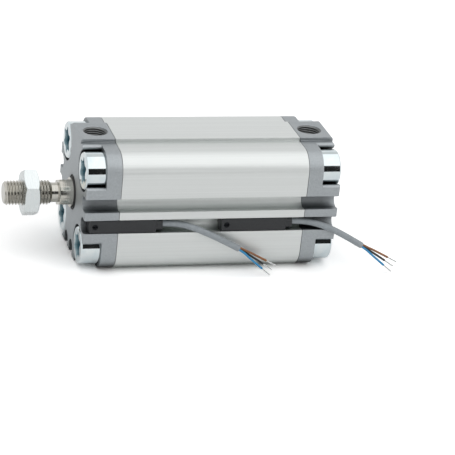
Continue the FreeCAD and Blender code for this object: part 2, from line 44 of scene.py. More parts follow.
# Points this close are welded, and faces that turn by fewer degrees than the flat angle become one.
WELD = 0.001 * MM
FLAT_ANGLE = 0.5
# Edges that turn by more degrees than the crease are broken, and shading is smooth up to a little less.
SOLID_CREASE = 40
SMOOTH_MARGIN = 2


def srgb(code):
    """Linear colour, with full cover, of an sRGB hex value."""
    shares = [int(code[i:i + 2], 16) / 255 for i in (1, 3, 5)]
    linear = [s / 12.92 if s <= 0.04045 else ((s + 0.055) / 1.055) ** 2.4 for s in shares]
    return (*linear, 1.0)


def add_node(finish, kind, settings, links):
    """Adds a node: settings name its properties or sockets, links give what feeds each socket."""
    made = finish.node_tree.nodes.new(kind)
    for name, value in settings.items():
        if isinstance(name, int) or name in made.inputs:
            made.inputs[name].default_value = value
        else:
            setattr(made, name, value)
    for name, source in links.items():
        finish.node_tree.links.new(source, made.inputs[name])
    return made


def grained_tone(finish, grain, tones):
    """Adds a noise, grained in mm along X, Y and Z, and a colour between two tones; returns both outputs."""
    place = add_node(finish, "ShaderNodeTexCoord", {}, {})
    laid = add_node(finish, "ShaderNodeMapping", {"Scale": [1 / (size * MM) for size in grain]},
                    {"Vector": place.outputs["Object"]})
    noise = add_node(finish, "ShaderNodeTexNoise", {"Scale": 1.0, "Detail": 4.0, "Roughness": 0.6},
                     {"Vector": laid.outputs["Vector"]})
    spread = add_node(finish, "ShaderNodeMapRange", {"From Min": 0.3, "From Max": 0.7},
                      {"Value": noise.outputs["Fac"]})
    tone = add_node(finish, "ShaderNodeMix",
                    {"name": "tone", "data_type": "RGBA", 6: srgb(tones[0]), 7: srgb(tones[1])},
                    {0: spread.outputs["Result"]})
    return spread.outputs["Result"], tone.outputs[2]


def grained_finish(name, constants, grain, tones, gloss, relief, hollows=None):
    """Material whose colour, gloss and relief follow one noise.

    The constants are set on its shader, gloss is two roughnesses, and relief is a height in mm.
    Where hollows are given, by a colour and a reach in mm, painted shade in that colour darkens what lies
    that close to walls.
    """
    finish = bpy.data.materials.new(name)
    finish.use_nodes = True
    shader = finish.node_tree.nodes["Principled BSDF"]
    for socket, value in constants.items():
        shader.inputs[socket].default_value = value
    spread, colour = grained_tone(finish, grain, tones)
    shine = add_node(finish, "ShaderNodeMapRange", {"name": "shine", "To Min": gloss[0], "To Max": gloss[1]},
                     {"Value": spread})
    bump = add_node(finish, "ShaderNodeBump", {"Strength": 0.5, "Distance": relief * MM}, {"Height": spread})
    if hollows:
        # Painted shade: ambient occlusion darkens the colour where walls lie within the reach.
        shade_colour, reach = hollows
        openness = add_node(finish, "ShaderNodeAmbientOcclusion", {"samples": 8, "Distance": reach * MM}, {})
        unshaded_share = add_node(finish, "ShaderNodeMapRange", {"From Min": 0.2, "From Max": 0.8},
                         {"Value": openness.outputs["AO"]})
        painted_shade = add_node(finish, "ShaderNodeMix", {"data_type": "RGBA", 6: srgb(shade_colour)},
                          {0: unshaded_share.outputs["Result"], 7: colour})
        colour = painted_shade.outputs[2]
    finish.node_tree.links.new(colour, shader.inputs["Base Color"])
    finish.node_tree.links.new(shine.outputs["Result"], shader.inputs["Roughness"])
    finish.node_tree.links.new(bump.outputs["Normal"], shader.inputs["Normal"])
    return finish


def only(piece):
    """Leaves this piece alone selected and active."""
    bpy.ops.object.select_all(action="DESELECT")
    bpy.context.view_layer.objects.active = piece
    piece.select_set(True)


def break_edges(piece, width, shortest, crease):
    """Rounds edges that turn by more degrees than the crease and are longer than the shortest."""
    only(piece)
    bpy.ops.object.mode_set(mode="EDIT")
    bpy.ops.mesh.select_mode(type="EDGE")
    bpy.ops.mesh.select_all(action="DESELECT")
    bpy.ops.mesh.edges_select_sharp(sharpness=math.radians(crease))
    bpy.ops.object.mode_set(mode="OBJECT")
    weights = piece.data.attributes.new("bevel_weight_edge", "FLOAT", "EDGE")
    for line in piece.data.edges:
        first, second = [piece.data.vertices[index].co for index in line.vertices]
        weights.data[line.index].value = 1.0 if line.select and (first - second).length > shortest else 0.0
    broken = piece.modifiers.new("broken edges", "BEVEL")
    broken.width = width
    broken.segments = 2
    broken.limit_method = "WEIGHT"
    broken.use_clamp_overlap = False
    bpy.ops.object.modifier_apply(modifier=broken.name)
    bpy.ops.object.shade_smooth_by_angle(angle=math.radians(crease - SMOOTH_MARGIN))
    level = piece.modifiers.new("level faces", "WEIGHTED_NORMAL")
    level.keep_sharp = True
    bpy.ops.object.modifier_apply(modifier=level.name)


def finished_copy(node, finish, body, width, shortest):
    """Copy of a solid with its edges broken, in its finish, standing for the solid."""
    piece = bpy.data.objects.new(node + "_finished", nodes[node].data.copy())
    bpy.context.scene.collection.objects.link(piece)
    only(piece)
    bpy.ops.mesh.customdata_custom_splitnormals_clear()
    bpy.ops.object.mode_set(mode="EDIT")
    bpy.ops.mesh.select_all(action="SELECT")
    bpy.ops.mesh.remove_doubles(threshold=WELD)
    bpy.ops.mesh.dissolve_limited(angle_limit=math.radians(FLAT_ANGLE))
    bpy.ops.object.mode_set(mode="OBJECT")
    break_edges(piece, width, shortest, SOLID_CREASE)
    piece.data.materials.clear()
    piece.data.materials.append(finish)
    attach(piece, body)
    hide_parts(node)
    return piece


# Anodised extruded aluminium: a clear oxide skin over metal, satin, with lengthwise streaks in its gloss.
# The real lines are about 0.1 mm apart, drawn 0.9 mm apart so that they show.
# Its slots, steps and joints are darkened with painted shade.
anodised = grained_finish("anodised extruded aluminium", {"Metallic": 1.0}, grain=(160, 0.9, 0.9),
                          tones=("#D3D6D5", "#DCDFDE"), gloss=(0.40, 0.50), relief=0.01,
                          hollows=("#9AA19D", 5))
finished_copy("barrel", anodised, "cylinder", width=0.3 * MM, shortest=0)


# End caps
# Front and rear caps are aluminium die castings, blasted to an even grain and left a flat mid grey.
# Each has a tapped air port in its top pad and open corner pockets for the cover screws.

# Blasted die-cast aluminium: dull metal with a sandy grain. The grit marks are about 0.1 mm, drawn 0.45 mm.
# Its slots, pockets, steps and port mouths are darkened with near-black painted shade.
cast = grained_finish("blasted die-cast aluminium", {"Metallic": 1.0}, grain=(0.45, 0.45, 0.45),
                      tones=("#9CA1A4", "#B0B5B8"), gloss=(0.42, 0.54), relief=0.03, hollows=("#1E2021", 7))
caps = {}
for end in ("front", "rear"):
    caps[end] = finished_copy(end + "_cap", cast, "cylinder", width=0.32 * MM,
                              shortest=0.5 * MM)


# Port threads
# Each port is tapped G1/8, 28 threads to the inch, straight into the casting.
# The crests are bare metal, the roots are darkened with painted shade, and the thread stops above the floor.

PORT_PLACES = {"front": 7.6 * MM, "rear": 96.9 * MM}
PORT_R = 4.865 * MM
PORT_PITCH = 0.907 * MM
PORT_TURNS = 7
PORT_THREAD_START = 19.5 * MM
PORT_ROOT = (4.95 * MM, 0.84 * MM)
PORT_CREST = (4.29 * MM, 0.12 * MM)
MOUTH_R = 5.7 * MM
MOUTH_FLOOR = 25.6 * MM
MOUTH_SHARE = 0.3
# Steps in one turn of a thread, and the degrees up to which its faces are shaded as one round.
WINDING_STEPS = 48
ROUNDED_CREST = 70


def thread_ridge(name, start, pitch, turns, root, crest):
    """Ridge wound about the X axis; root and crest each give a radius and a width along X."""
    (root_r, root_width), (crest_r, crest_width) = root, crest
    bpy.ops.object.select_all(action="DESELECT")
    bpy.ops.mesh.primitive_plane_add(size=1.0, rotation=(math.radians(90), 0, 0))
    ridge = bpy.context.object
    ridge.name = name
    bpy.ops.object.transform_apply(location=True, rotation=True, scale=True)
    bpy.ops.object.mode_set(mode="EDIT")
    bpy.ops.mesh.select_mode(type="VERT")
    bpy.ops.transform.resize(value=(root_width, 1, crest_r - root_r), center_override=(0, 0, 0))
    bpy.ops.transform.translate(value=(start, 0, (root_r + crest_r) / 2))
    bpy.ops.mesh.select_all(action="DESELECT")
    bpy.ops.object.mode_set(mode="OBJECT")
    for corner in ridge.data.vertices:
        corner.select = abs(corner.co.z - crest_r) < abs(corner.co.z - root_r)
    bpy.ops.object.mode_set(mode="EDIT")
    bpy.ops.transform.resize(value=(crest_width / root_width, 1, 1), center_override=(start, 0, 0))
    bpy.ops.object.mode_set(mode="OBJECT")
    winding = ridge.modifiers.new("winding", "SCREW")
    winding.axis = "X"
    winding.screw_offset = pitch
    winding.iterations = turns
    winding.steps = WINDING_STEPS
    winding.render_steps = WINDING_STEPS
    bpy.ops.object.modifier_apply(modifier=winding.name)
    bpy.ops.object.mode_set(mode="EDIT")
    bpy.ops.mesh.select_all(action="SELECT")
    bpy.ops.mesh.remove_doubles(threshold=WELD)
    bpy.ops.mesh.fill_holes(sides=4)
    bpy.ops.mesh.select_all(action="SELECT")
    bpy.ops.mesh.normals_make_consistent(inside=False)
    bpy.ops.object.mode_set(mode="OBJECT")
    bpy.ops.object.shade_smooth_by_angle(angle=math.radians(ROUNDED_CREST))
    return ridge


# Cut aluminium: bare metal from the tap, with fine tears along the cut, painted darker for the shade inside
# the port and near black with painted shade in its roots.
tapped = grained_finish("tapped aluminium", {"Metallic": 1.0}, grain=(0.5, 0.5, 0.2),
                        tones=("#6A6C6C", "#808282"), gloss=(0.25, 0.40), relief=0.01,
                        hollows=("#0C0C0C", 0.8))
for end, x in PORT_PLACES.items():
    # The tap cuts into the rounded mouth, and leaves only a share of its width as a rim.
    for corner in caps[end].data.vertices:
        out = Vector((corner.co.x - x, corner.co.y))
        if corner.co.z > MOUTH_FLOOR and PORT_R < out.length < MOUTH_R:
            out.length = PORT_R + (out.length - PORT_R) * MOUTH_SHARE
            corner.co.xy = (x + out.x, out.y)
    thread = thread_ridge(end + "_port_thread", PORT_THREAD_START, PORT_PITCH, PORT_TURNS,
                          PORT_ROOT, PORT_CREST)
    thread.data.transform(Matrix.Translation((x, 0, 0)) @ Matrix.Rotation(math.radians(-90), 4, "Y"))
    thread.data.materials.append(tapped)
    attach(thread, "cylinder")


# Seals and bumpers
# A rubber ring in each cap's face seals the barrel's end, and a flat rubber ring beside it stops the piston.
# Both are moulded nitrile rubber, pressed into their grooves.

def dress(node, finish):
    """Puts a finish on a solid that is right as it is."""
    nodes[node].data.materials.clear()
    nodes[node].data.materials.append(finish)


# Moulded nitrile rubber: black and dull, with a faint bloom in patches of about 2 mm.
rubber = grained_finish("moulded nitrile rubber", {"IOR": 1.52}, grain=(2, 2, 2),
                        tones=("#0C0D0E", "#191A1C"), gloss=(0.50, 0.68), relief=0.01)
for seal in ("front_barrel_o_ring", "rear_barrel_o_ring", "front_bumper", "rear_bumper"):
    dress(seal, rubber)


# Corner screws
# Hollow steel cover screws hold each cap to the barrel, four to an end, zinc plated and blue passivated.
# Their cold-forged heads have a six-lobe socket, with a tapped M6 mounting hole behind it.

SCREW_AT = 16 * MM
SOCKET_R = 5.7 * MM
BODY_MIDDLE = 52.25 * MM
FACE_DEPTH = 0.06 * MM
RIM_HIGHLIGHT_DEPTH = 0.3 * MM
SOCKET_SHADE_DEPTH = 1.6 * MM
FILM_METALLIC = 0.4
FILM_ROUGHNESS = 0.45

# Bright zinc plating: mirror-like, with a cold cast that drifts over about 5 mm. The sockets' walls are dull
# and less metallic, with a pale painted highlight just below the head's face that turns with depth
# into the passivation's blue deepened by painted shade.
zinc = grained_finish("bright zinc plated steel", {"Metallic": 1.0}, grain=(5, 5, 5),
                      tones=("#CCD8DC", "#DDE3E4"), gloss=(0.04, 0.10), relief=0.002)
place = add_node(zinc, "ShaderNodeTexCoord", {}, {})
# The screws stand in the four corners, so the distance from an axis is the same without the signs of Y and Z.
unsigned = add_node(zinc, "ShaderNodeVectorMath", {"operation": "ABSOLUTE"}, {0: place.outputs["Object"]})
from_axis = add_node(zinc, "ShaderNodeVectorMath",
                     {"operation": "MULTIPLY_ADD", 1: (0, 1, 1), 2: (0, -SCREW_AT, -SCREW_AT)},
                     {0: unsigned.outputs["Vector"]})
reach = add_node(zinc, "ShaderNodeVectorMath", {"operation": "LENGTH"}, {0: from_axis.outputs["Vector"]})
outside = add_node(zinc, "ShaderNodeMath", {"operation": "GREATER_THAN", 1: SOCKET_R},
                   {0: reach.outputs["Value"]})
# Heads face out at both ends, so the depth is counted inwards from whichever end is nearer.
shares = add_node(zinc, "ShaderNodeSeparateXYZ", {}, {"Vector": place.outputs["Object"]})
off_middle = add_node(zinc, "ShaderNodeMath", {"operation": "SUBTRACT", 1: BODY_MIDDLE},
                      {0: shares.outputs["X"]})
aside = add_node(zinc, "ShaderNodeMath", {"operation": "ABSOLUTE"}, {0: off_middle.outputs["Value"]})
depth = add_node(zinc, "ShaderNodeMath", {"operation": "SUBTRACT", 0: BODY_MIDDLE},
                 {1: aside.outputs["Value"]})
on_face = add_node(zinc, "ShaderNodeMath", {"operation": "LESS_THAN", 1: FACE_DEPTH},
                   {0: depth.outputs["Value"]})
clear = add_node(zinc, "ShaderNodeMath", {"operation": "MAXIMUM"},
                 {0: outside.outputs["Value"], 1: on_face.outputs["Value"]})
# Socket walls: a pale painted highlight near the head's face, darkening with depth into blue painted shade.
shade_share = add_node(zinc, "ShaderNodeMapRange", {"From Min": RIM_HIGHLIGHT_DEPTH, "From Max": SOCKET_SHADE_DEPTH},
                {"Value": depth.outputs["Value"]})
socket_highlight_and_shade = add_node(zinc, "ShaderNodeMix", {"data_type": "RGBA", 6: srgb("#C3DAE0"), 7: srgb("#5E8A98")},
                {0: shade_share.outputs["Result"]})
coloured = add_node(zinc, "ShaderNodeMix", {"data_type": "RGBA"},
                    {0: clear.outputs["Value"], 6: socket_highlight_and_shade.outputs[2],
                     7: zinc.node_tree.nodes["tone"].outputs[2]})
metallic = add_node(zinc, "ShaderNodeMapRange", {"To Min": FILM_METALLIC, "To Max": 1.0},
                    {"Value": clear.outputs["Value"]})
milky = add_node(zinc, "ShaderNodeMix", {"data_type": "FLOAT", 2: FILM_ROUGHNESS},
                 {0: clear.outputs["Value"], 3: zinc.node_tree.nodes["shine"].outputs["Result"]})
plated = zinc.node_tree.nodes["Principled BSDF"]
zinc.node_tree.links.new(coloured.outputs[2], plated.inputs["Base Color"])
zinc.node_tree.links.new(metallic.outputs["Result"], plated.inputs["Metallic"])
zinc.node_tree.links.new(milky.outputs[0], plated.inputs["Roughness"])
for screws in ("front_cover_screws", "rear_cover_screws"):
    finished_copy(screws, zinc, "cylinder", width=0.07 * MM, shortest=0)


# Rod bush and wiper
# The rod runs in a pressed bush of sintered bronze, which holds oil in its pores.
# In front of it a rubber wiper is pressed into the cap's face, and its lip stands out round the rod.

# Sintered bronze: dull gold with dark open pores, about 0.05 mm in the real one, drawn 0.3 mm.
bronze = grained_finish("sintered bronze", {"Metallic": 1.0}, grain=(0.3, 0.3, 0.3),
                        tones=("#6E5330", "#B08A55"), gloss=(0.38, 0.60), relief=0.02)
dress("rod_bush", bronze)
dress("rod_wiper", rubber)


# Piston
# Two turned aluminium discs clamp a magnet ring between them, and a black socket screw holds them on the rod.
# A plastic guide ring covers the magnet, with a rubber lip seal on each side.

# Turned aluminium: bright metal with tool rings, about 0.1 mm apart in the real one, drawn 0.4 mm.
lathe_aluminium = grained_finish("turned aluminium", {"Metallic": 1.0}, grain=(0.4, 30, 30),
                                 tones=("#B8BBBD", "#D5D8D9"), gloss=(0.26, 0.40), relief=0.01)
# Bonded ferrite: dark grey plastic full of magnet powder, dull and speckled.
ferrite = grained_finish("bonded ferrite", {"IOR": 1.6}, grain=(0.4, 0.4, 0.4),
                         tones=("#232427", "#3B3D40"), gloss=(0.55, 0.72), relief=0.02)
# Acetal: off-white bearing plastic, waxy and smooth.
acetal = grained_finish("turned acetal", {"IOR": 1.48, "Subsurface Weight": 0.1}, grain=(0.5, 12, 12),
                        tones=("#DEDACF", "#E9E6DD"), gloss=(0.30, 0.42), relief=0.004)
# Black oxide on steel: thin, dark and a little oily.
black_oxide = grained_finish("black oxide steel", {"Metallic": 1.0}, grain=(1.5, 1.5, 1.5),
                             tones=("#1F2022", "#34363A"), gloss=(0.30, 0.46), relief=0.004)
for disc in ("piston_front_disc", "piston_rear_disc"):
    dress(disc, lathe_aluminium)
for seal in ("piston_seal_front", "piston_seal_rear", "piston_o_ring"):
    dress(seal, rubber)
dress("piston_magnet", ferrite)
dress("piston_guide_ring", acetal)
dress("piston_bolt", black_oxide)


# Piston rod
# The rod is ground steel bar, with wrench flats near its end, a thread relief and a rolled M10 thread.
# Its rear end is turned down for the piston and tapped for the piston's screw.

ROD_R = 6.0 * MM
ROD_TIP = -28.0 * MM
THREAD_BACK = -8.9 * MM
THREAD_R = 5.0 * MM
THREAD_PITCH = 1.25 * MM
THREAD_TURNS = 16
THREAD_LEAD_IN = 0.5 * MM
RIDGE_FOOT = (4.1 * MM, 1.2 * MM)
CREST_WIDTH = 0.16 * MM
# The shape that trims the thread's ends clears the crests by a hair, so that no faces coincide.
CREST_ROOM = 0.001 * MM
CORE_R = 4.233 * MM
RELIEF_R = 4.0 * MM
SHOULDER = -6.0 * MM
SHOULDER_BEVEL = 0.3 * MM
FLATS_BACK = -1.1 * MM
FLATS_ACROSS = 10.0 * MM
FLATS_LEAN = -24
# The cutter for the flats starts a little in front of the shoulder.
CUTTER_OVER = 1.0 * MM
CUTTER_WIDTH = 30.0 * MM
CUTTER_HEIGHT = 10.0 * MM
PISTON_SEAT = 76.5 * MM
SPIGOT_R = 5.0 * MM
SPIGOT_BACK = 80.5 * MM
BOLT_HOLE_R = 3.03 * MM
BOLT_HOLE_FLOOR = 67.4 * MM
TURNING_STEPS = 96
TURNED_CREASE = 28


def turned(name, outline):
    """Piece turned about the rod's axis from an outline of x and radius."""
    bpy.ops.object.select_all(action="DESELECT")
    bpy.ops.mesh.primitive_plane_add(size=MM)
    piece = bpy.context.object
    piece.name = name
    bpy.ops.object.mode_set(mode="EDIT")
    bpy.ops.mesh.select_mode(type="VERT")
    bpy.ops.mesh.merge(type="CENTER")
    bpy.ops.transform.translate(value=(outline[0][0], 0, outline[0][1]))
    for before, after in zip(outline, outline[1:]):
        step = (after[0] - before[0], 0, after[1] - before[1])
        bpy.ops.mesh.extrude_vertices_move(TRANSFORM_OT_translate={"value": step})
    bpy.ops.mesh.select_all(action="SELECT")
    bpy.ops.mesh.spin(steps=TURNING_STEPS, angle=math.radians(360), center=(0, 0, 0), axis=(1, 0, 0))
    bpy.ops.mesh.select_all(action="SELECT")
    bpy.ops.mesh.remove_doubles(threshold=WELD)
    bpy.ops.mesh.normals_make_consistent(inside=False)
    bpy.ops.object.mode_set(mode="OBJECT")
    return piece


def combine(piece, other, way):
    """Joins a piece with another, or cuts it by it, or keeps what they share; the other is used up."""
    only(piece)
    joint = piece.modifiers.new(way, "BOOLEAN")
    joint.operation = way
    joint.solver = "EXACT"
    joint.object = other
    bpy.ops.object.modifier_apply(modifier=joint.name)
    bpy.data.objects.remove(other)


# Ground steel: warm grey, with grinding rings round it, about 0.05 mm apart in the real one, drawn 0.35 mm.
# Painted shade darkens it a little where it lies close to walls, as in the roots of its thread.
ground = grained_finish("ground steel", {"Metallic": 1.0}, grain=(0.35, 40, 40), tones=("#B5B2AA", "#CAC8C1"),
                        gloss=(0.14, 0.22), relief=0.003, hollows=("#A5A39C", 1))
rod = turned("rod_finished", [
    (ROD_TIP, 0), (ROD_TIP, RELIEF_R), (ROD_TIP + CORE_R - RELIEF_R, CORE_R),
    (THREAD_BACK - CORE_R + RELIEF_R, CORE_R), (THREAD_BACK, RELIEF_R), (SHOULDER, RELIEF_R),
    (SHOULDER, ROD_R - SHOULDER_BEVEL), (SHOULDER + SHOULDER_BEVEL, ROD_R), (PISTON_SEAT, ROD_R),
    (PISTON_SEAT, SPIGOT_R), (SPIGOT_BACK, SPIGOT_R), (SPIGOT_BACK, BOLT_HOLE_R),
    (BOLT_HOLE_FLOOR, BOLT_HOLE_R), (BOLT_HOLE_FLOOR, 0)])
for turn in (FLATS_LEAN, FLATS_LEAN + 180):
    bpy.ops.object.select_all(action="DESELECT")
    bpy.ops.mesh.primitive_cube_add(size=1.0)
    flat = bpy.context.object
    middle = Matrix.Translation(((SHOULDER + FLATS_BACK - CUTTER_OVER) / 2, 0,
                                 (FLATS_ACROSS + CUTTER_HEIGHT) / 2))
    size = Matrix.Diagonal((FLATS_BACK - SHOULDER + CUTTER_OVER, CUTTER_WIDTH, CUTTER_HEIGHT, 1))
    flat.matrix_world = Matrix.Rotation(math.radians(turn), 4, "X") @ middle @ size
    bpy.ops.object.transform_apply(location=True, rotation=True, scale=True)
    combine(rod, flat, "DIFFERENCE")
thread = thread_ridge("rod_thread", ROD_TIP - THREAD_LEAD_IN, THREAD_PITCH, THREAD_TURNS, RIDGE_FOOT,
                      (THREAD_R, CREST_WIDTH))
run_outs = turned("thread_run_outs", [
    (ROD_TIP, 0), (ROD_TIP, RELIEF_R), (ROD_TIP + THREAD_R - RELIEF_R, THREAD_R + CREST_ROOM),
    (THREAD_BACK - THREAD_R + RELIEF_R, THREAD_R + CREST_ROOM), (THREAD_BACK, RELIEF_R), (THREAD_BACK, 0)])
combine(thread, run_outs, "INTERSECT")
combine(rod, thread, "UNION")
break_edges(rod, width=0.06 * MM, shortest=0.4 * MM, crease=TURNED_CREASE)
rod.data.materials.append(ground)
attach(rod, "rod")
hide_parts("piston_rod")


# Lock nut
# A steel hexagon nut, 17 mm across and zinc plated, locks whatever is screwed on the rod.
# Its corners are turned off at both faces, and the thread is countersunk.

NUT_FRONT = -20.5 * MM
NUT_BACK = -14.5 * MM
NUT_CORNER_R = 9.815 * MM
NUT_TURNED_R = 9.915 * MM
NUT_FACE_R = 8.3 * MM
NUT_BEVEL = 0.76 * MM
NUT_BORE_R = 5.04 * MM
NUT_SINK = 0.56 * MM
NUT_LEAN = -32

# Bright zinc on a turned nut: whiter than the forged screws, with soft tool marks about 0.6 mm wide.
white_zinc = grained_finish("zinc plated turned nut", {"Metallic": 1.0}, grain=(0.6, 5, 5),
                            tones=("#D3D9DA", "#DFE4E4"), gloss=(0.20, 0.32), relief=0.004)
bpy.ops.object.select_all(action="DESELECT")
bpy.ops.mesh.primitive_cylinder_add(vertices=6, radius=NUT_CORNER_R, depth=NUT_BACK - NUT_FRONT)
nut = bpy.context.object
nut.name = "nut_finished"
upright = Matrix.Rotation(math.radians(NUT_LEAN), 4, "X") @ Matrix.Rotation(math.radians(90), 4, "Y")
nut.matrix_world = Matrix.Translation(((NUT_FRONT + NUT_BACK) / 2, 0, 0)) @ upright
bpy.ops.object.transform_apply(location=True, rotation=True, scale=True)
blank = turned("nut_turning", [
    (NUT_FRONT, NUT_FACE_R), (NUT_FRONT + NUT_BEVEL, NUT_TURNED_R), (NUT_BACK - NUT_BEVEL, NUT_TURNED_R),
    (NUT_BACK, NUT_FACE_R), (NUT_BACK, NUT_BORE_R + NUT_SINK), (NUT_BACK - NUT_SINK, NUT_BORE_R),
    (NUT_FRONT + NUT_SINK, NUT_BORE_R), (NUT_FRONT, NUT_BORE_R + NUT_SINK), (NUT_FRONT, NUT_FACE_R)])
combine(nut, blank, "INTERSECT")
break_edges(nut, width=0.12 * MM, shortest=0.4 * MM, crease=TURNED_CREASE)
nut.data.materials.clear()
nut.data.materials.append(white_zinc)
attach(nut, "lock_nut")
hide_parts("rod_lock_nut")


# Position sensors
# Each sensor is a reed switch in a moulded body that drops into the slot, and a slotted screw clamps it.
# The glass reed capsule lies in a hollow inside the body, and the lead leaves through a round neck.

# Moulded black plastic: nearly matte, with the fine spark grain of its mould, drawn 0.5 mm.
moulded = grained_finish("moulded black polyamide", {"IOR": 1.53}, grain=(0.5, 0.5, 0.5),
                         tones=("#16181B", "#212427"), gloss=(0.40, 0.52), relief=0.01)
# Blackened steel: a darkened clamp screw with worn shine.
blackened = grained_finish("blackened steel", {"Metallic": 1.0}, grain=(1, 1, 1),
                           tones=("#17181A", "#2A2C2F"), gloss=(0.32, 0.50), relief=0.004)
# Reed glass: clear with a faint green tint and drawn streaks along it.
reed_glass = grained_finish("drawn reed glass", {"IOR": 1.5, "Transmission Weight": 0.9}, grain=(8, 0.4, 0.4),
                            tones=("#C9D8C4", "#DCE8D8"), gloss=(0.03, 0.08), relief=0.002)
for end in ("front", "rear"):
    finished_copy(end + "_sensor_body", moulded, end + "_sensor", width=0.3 * MM,
                  shortest=0.4 * MM)
    finished_copy(end + "_sensor_screw", blackened, end + "_clamp", width=0.05 * MM,
                  shortest=0)
    dress(end + "_sensor_reed", reed_glass)


# Sensor leads
# A grey jacket leaves each sensor's neck, comes out of the slot and hangs beside the barrel.
# Past its cut end three thin cores, brown, black and blue, fan out and end in bare tinned strands.

CABLE_D = 2.6 * MM
CORE_D = 0.9 * MM
CORE_SPREAD = 0.56 * MM
CORE_STRAIGHT = 2.2 * MM
TIP_LENGTH = 4.4 * MM
TIP_HIDDEN = 0.6 * MM
STRAND_D = 0.2 * MM
# Strands round the middle one, the sides and spans of each, and their twist and crease in degrees.
STRANDS_ROUND = 6
STRAND_SIDES = 8
STRAND_SPANS = 10
STRAND_TWIST = 200
STRAND_CREASE = 50
# Points that the jackets bend towards, in mm, and each core's way on from its jacket's end.
LEAD_ROUTES = {
    "front": [(32.0, -22, -4.5), (37.6, -22, -4.5), (43.9, -24.7, -5.0), (50.1, -27.3, -6.9),
              (56.6, -28.5, -9.7), (63.2, -29.0, -13.1)],
    "rear": [(85.8, -22, -4.5), (91.4, -22, -4.5), (97.6, -24.6, -5.0), (103.4, -27.2, -6.7),
             (109.2, -28.5, -9.5), (115.1, -29.0, -12.9)],
}
CORE_FAN = {
    "brown": [(5.7, -0.1, -2.2), (11.9, -0.5, -5.4)],
    "black": [(5.3, -0.2, -3.2), (10.6, -0.9, -6.6)],
    "blue": [(4.9, -1.1, -4.1), (10.1, -1.7, -8.3)],
}
CORE_TONES = {
    "brown": ("#7E4F2C", "#94633A"),
    "black": ("#08090B", "#101316"),
    "blue": ("#1E7BB0", "#2F8FC0"),
}


def round_cord(name, points, diameter, finish):
    """Smooth round cord whose line bends towards these points."""
    line = bpy.data.curves.new(name, "CURVE")
    line.dimensions = "3D"
    line.bevel_depth = diameter / 2
    line.bevel_resolution = 6
    line.resolution_u = 16
    line.use_fill_caps = True
    spline = line.splines.new("NURBS")
    spline.points.add(len(points) - 1)
    for control, point in zip(spline.points, points):
        control.co = (*point, 1.0)
    spline.order_u = 3
    spline.use_endpoint_u = True
    line.materials.append(finish)
    piece = bpy.data.objects.new(name, line)
    bpy.context.scene.collection.objects.link(piece)
    return piece


def stranded_tip(name, start, end):
    """Bare end of a core: one tinned strand with the others twisted round it."""
    length = (end - start).length
    for index in range(STRANDS_ROUND + 1):
        angle = math.radians(360 / STRANDS_ROUND * index)
        out = STRAND_D if index else 0
        bpy.ops.object.select_all(action="DESELECT")
        spot = (out * math.cos(angle), out * math.sin(angle), length / 2)
        bpy.ops.mesh.primitive_cylinder_add(vertices=STRAND_SIDES, radius=STRAND_D / 2, depth=length,
                                            location=spot)
        strand = bpy.context.object
        bpy.ops.object.transform_apply(location=True, rotation=True, scale=True)
        bpy.ops.object.mode_set(mode="EDIT")
        for span in range(STRAND_SPANS - 1, 0, -1):
            bpy.ops.mesh.select_all(action="SELECT")
            bpy.ops.mesh.bisect(plane_co=(0, 0, length * span / STRAND_SPANS), plane_no=(0, 0, 1))
        bpy.ops.object.mode_set(mode="OBJECT")
        if index == 0:
            tip = strand
            continue
        tip.select_set(True)
        bpy.context.view_layer.objects.active = tip
        bpy.ops.object.join()
    tip.name = name
    lay = tip.modifiers.new("lay", "SIMPLE_DEFORM")
    lay.deform_method = "TWIST"
    lay.deform_axis = "Z"
    lay.angle = math.radians(STRAND_TWIST)
    only(tip)
    bpy.ops.object.modifier_apply(modifier=lay.name)
    bpy.ops.object.shade_smooth_by_angle(angle=math.radians(STRAND_CREASE))
    tip.matrix_world = Matrix.Translation(start) @ (end - start).to_track_quat("Z", "Y").to_matrix().to_4x4()
    bpy.ops.object.transform_apply(location=True, rotation=True, scale=True)
    return tip


# Grey vinyl jacket: extruded, dull, with a slight mottle of about 1.6 mm.
jacket_vinyl = grained_finish("grey extruded vinyl", {"IOR": 1.53}, grain=(1.6, 1.6, 1.6),
                              tones=("#868D92", "#979EA2"), gloss=(0.42, 0.55), relief=0.01)
# Core insulation: smooth coloured vinyl, a little shinier than the jacket.
core_vinyl = {}
for colour, tones in CORE_TONES.items():
    core_vinyl[colour] = grained_finish(colour + " core vinyl", {"IOR": 1.53}, grain=(1.6, 1.6, 1.6),
                                        tones=tones, gloss=(0.30, 0.42), relief=0.004)
# Tinned copper: bright strands, dipped in tin that dulls in patches.
tinned = grained_finish("tinned copper strands", {"Metallic": 1.0}, grain=(0.8, 0.8, 0.8),
                        tones=("#BFC1C0", "#E3E5E4"), gloss=(0.20, 0.36), relief=0.004)

